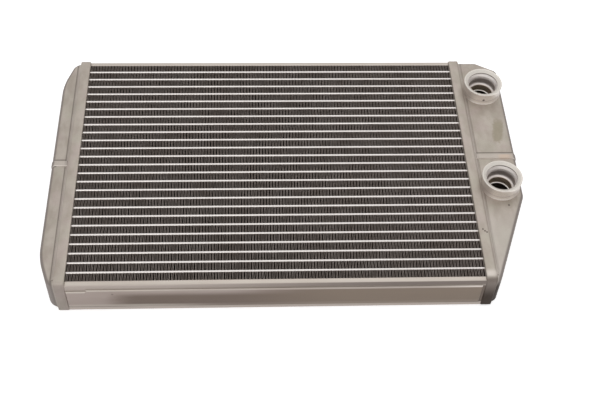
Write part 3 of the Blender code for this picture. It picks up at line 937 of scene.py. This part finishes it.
# Braze seams.
# Filler metal has run into the corner between each pan's flange and its tank, on both
# wide faces, and has set there as a hollow, slightly paler fillet.
SEAM_WIDTH = 0.0014
SEAM_RISE = 0.0009
SEAM_SINK = 0.0004
SEAM_STOP = 0.0030
SEAM_HOLLOW = 0.12
SEAM_TONE = (0.46, 0.41, 0.365, 1.0)
SEAM_CLOUD = (0.37, 0.32, 0.28, 1.0)


def make_seam(name, side, up, finish):
    """Strip along a flange's rim, hollow on its open side."""
    pan_low, pan_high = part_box("right_header" if side > 0 else "left_header")
    rim_x = pan_high.x if side > 0 else pan_low.x
    face_z = tank_high_z if up > 0 else tank_low_z
    outer_x, top_z = rim_x + side * SEAM_WIDTH, face_z + up * SEAM_RISE
    xs = sorted((rim_x - side * SEAM_SINK, outer_x))
    zs = sorted((face_z - up * SEAM_SINK, top_z))
    seam = block(name, Vector((xs[0], SEAM_STOP - tank_half, zs[0])),
                 Vector((xs[1], tank_half - SEAM_STOP, zs[1])))
    pick("EDGE", lambda points: at(0, outer_x)(points) and at(2, top_z)(points))
    bevel(SEAM_RISE, segments=6, profile=SEAM_HOLLOW)
    close()
    hand_over(seam, finish, [])


seam_finish = brazed("braze_filler", SEAM_TONE, SEAM_CLOUD, roughness=0.5)
for side, word in ((-1, "left"), (1, "right")):
    make_seam(f"{word}_front_seam", side, 1, seam_finish)
    make_seam(f"{word}_back_seam", side, -1, seam_finish)


# Pipe sockets.
# Two turned aluminium collars take the water pipes. Each has a spigot that is brazed
# into the wider tank, a rounded lip, a dished mouth and a seat for the pipe's end.
PORT_DUST_SIZE = 0.0006
PORT_DUST_HEIGHT = 0.00004
PORT_WALL_LIT = (0.98, 0.91, 0.84, 1.0)
PORT_FACE = (0.67, 0.63, 0.575, 1.0)
PORT_DUST = (0.42, 0.375, 0.34, 1.0)
PORT_FLANK_SHADE = (0.50, 0.445, 0.405, 1.0)
BORE_LIT_TONE = (0.97, 0.93, 0.90, 1.0)
BORE_SHADE_TONE = (0.40, 0.35, 0.33, 1.0)
SEAT_TONE = (0.70, 0.65, 0.62, 1.0)
SPIGOT_TONE = (0.42, 0.34, 0.26, 1.0)
SPIGOT_END_HIGHLIGHT = (0.97, 0.94, 0.90, 1.0)
BORE_REACH = (0.0104, 0.0102)
SPIGOT_REACH = (0.0075, 0.0073)
LIP_CREASE_SHADE = (0.0072, 0.0076)
BORE_SHADE_BAND = (0.0010, 0.0028)
COLLAR_RING_SHADE = (0.0026, 0.0029)
SOCKET_PIT = (0.1362, 0.0518, 0.0315)
SOCKET_PIT_TONE = (0.10, 0.08, 0.07, 1.0)

port_low, port_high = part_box("upper_port")
port_centre = (port_low + port_high) / 2
port_centre.z = tank_high_z
port_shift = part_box("lower_port")[0].y - port_low.y

# Each station is given by its radius, its height over the tank's face and its rounding.
PORT_STATIONS = (
    (0.0096, -0.0065, 0.0), (0.0096, -0.0006, 0.0), (0.0132, -0.0006, 0.0),
    (0.0127, 0.0004, 0.0), (0.01245, 0.0012, 0.0003), (0.01245, 0.0070, 0.0004),
    (0.0130, 0.0078, 0.0003), (0.0130, 0.0091, 0.0005), (0.0122, 0.0091, 0.0004),
    (0.0101, 0.0077, 0.0), (0.0101, 0.0069, 0.0002), (0.0092, 0.0050, 0.0005),
    (0.0088, -0.0006, 0.0), (0.0076, -0.0014, 0.0003), (0.0074, -0.0060, 0.0),
    (0.0069, -0.0062, 0.0), (0.0069, -0.0065, 0.0),
)


def port_finish():
    """Turned aluminium, paler than the pressed sheet, with painted light on its walls and in its
    bore and painted shade in bands.
    """
    finish = Finish("port_aluminium", Metallic=0.7)
    dust = finish.noise(PORT_DUST_SIZE)
    x, y, z = finish.axes()
    to_x, _, to_z = finish.facing()
    # Painted light: walls that face sideways are far brighter than faces turned up.
    tone = finish.blend(to_z.rise(0.2, 0.8), PORT_WALL_LIT, PORT_FACE)
    tone = finish.blend(dust.rise(0.4, 0.8) * 0.3, tone, PORT_DUST)
    bore, spigot = 0.0, 0.0
    for shift in (0.0, port_shift):
        aside, along_y = x - port_centre.x, y - (port_centre.y + shift)
        radius = (aside * aside + along_y * along_y).root()
        bore = bore + radius.rise(*BORE_REACH)
        spigot = spigot + radius.rise(*SPIGOT_REACH)
    up = z - tank_high_z
    # In the bore: painted shade in the crease under the lip, painted light down the wall, a band
    # of painted shade, and a painted highlight at the spigot's end.
    tone = finish.blend(bore * finish.band(up, *LIP_CREASE_SHADE, 0.0002), tone, BORE_SHADE_TONE)
    tone = finish.blend(bore * up.rise(0.0071, 0.0069), tone, BORE_LIT_TONE)
    tone = finish.blend(bore * finish.band(up, *BORE_SHADE_BAND, 0.0014), tone, BORE_SHADE_TONE)
    tone = finish.blend(bore * up.rise(-0.0001, -0.0005), tone, SEAT_TONE)
    tone = finish.blend(bore * up.rise(-0.0010, -0.0016), tone, SPIGOT_TONE)
    tone = finish.blend(spigot * up.rise(-0.0056, -0.0060), tone, SPIGOT_END_HIGHLIGHT)
    outside = 1.0 - bore
    # A painted shade line round the collar, standing for a fine turned groove.
    ring = finish.band(up, *COLLAR_RING_SHADE, 0.0003) * outside
    tone = finish.blend(ring * 0.35, tone, BORE_SHADE_TONE)
    # Painted shade on the collar's flanks that face left and right.
    tone = finish.blend(abs(to_x).rise(0.35, 0.95) * outside * 0.6, tone, PORT_FLANK_SHADE)
    pit = finish.spot(SOCKET_PIT, 0.0005, 0.0010)
    tone = finish.blend(pit * 0.9, tone, SOCKET_PIT_TONE)
    finish.set("Base Color", tone)
    finish.set("Roughness", 0.35 + dust * 0.1)
    finish.set("Normal", finish.bump(dust, PORT_DUST_HEIGHT))
    return finish


def turned(name, centre, stations):
    """Turn a closed profile: each ring is drawn out to the next station."""
    first_radius, first_height, _ = stations[0]
    bpy.ops.object.select_all(action="DESELECT")
    bpy.ops.mesh.primitive_circle_add(vertices=SOCKET_SIDES, radius=first_radius,
                                      location=centre + Vector((0, 0, first_height)))
    piece = bpy.context.object
    piece.name = name
    bpy.ops.object.transform_apply(location=True, rotation=True, scale=True)
    edit(piece)
    bpy.ops.mesh.select_mode(type="EDGE")
    bpy.ops.mesh.select_all(action="SELECT")
    for (radius, height, _), (wide, high, _) in zip(stations, stations[1:]):
        bpy.ops.mesh.extrude_region_move(
            TRANSFORM_OT_translate={"value": (0, 0, high - height)})
        bpy.ops.transform.resize(value=(wide / radius, wide / radius, 1),
                                 center_override=centre + Vector((0, 0, high)))
    pick("EDGE", lambda points: at(2, centre.z + first_height)(points) and all(
        near((point.xy - centre.xy).length, first_radius)
        or near((point.xy - centre.xy).length, stations[-1][0]) for point in points))
    bpy.ops.mesh.bridge_edge_loops()
    for radius, height, rounding in stations:
        if rounding:
            pick("EDGE", lambda points: at(2, centre.z + height)(points) and all(
                near((point.xy - centre.xy).length, radius) for point in points))
            bevel(rounding, segments=3)
    bpy.ops.mesh.select_all(action="SELECT")
    bpy.ops.mesh.normals_make_consistent(inside=False)
    close()
    return piece


ports_finish = port_finish()
port = turned("upper_socket", port_centre, PORT_STATIONS)
hand_over(port, ports_finish, ["upper_port"])
lower = copy_to(port, "lower_socket", (0, port_shift, 0))
lower["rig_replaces"] = []
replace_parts(lower, "lower_port")


# Baffle.
# A flat plate inside the wider tank keeps the two water chambers apart. Only its edge
# could be seen, through a socket.
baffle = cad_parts["tank_baffle"]
baffle.data.materials.clear()
baffle.data.materials.append(tank_finish.owner)
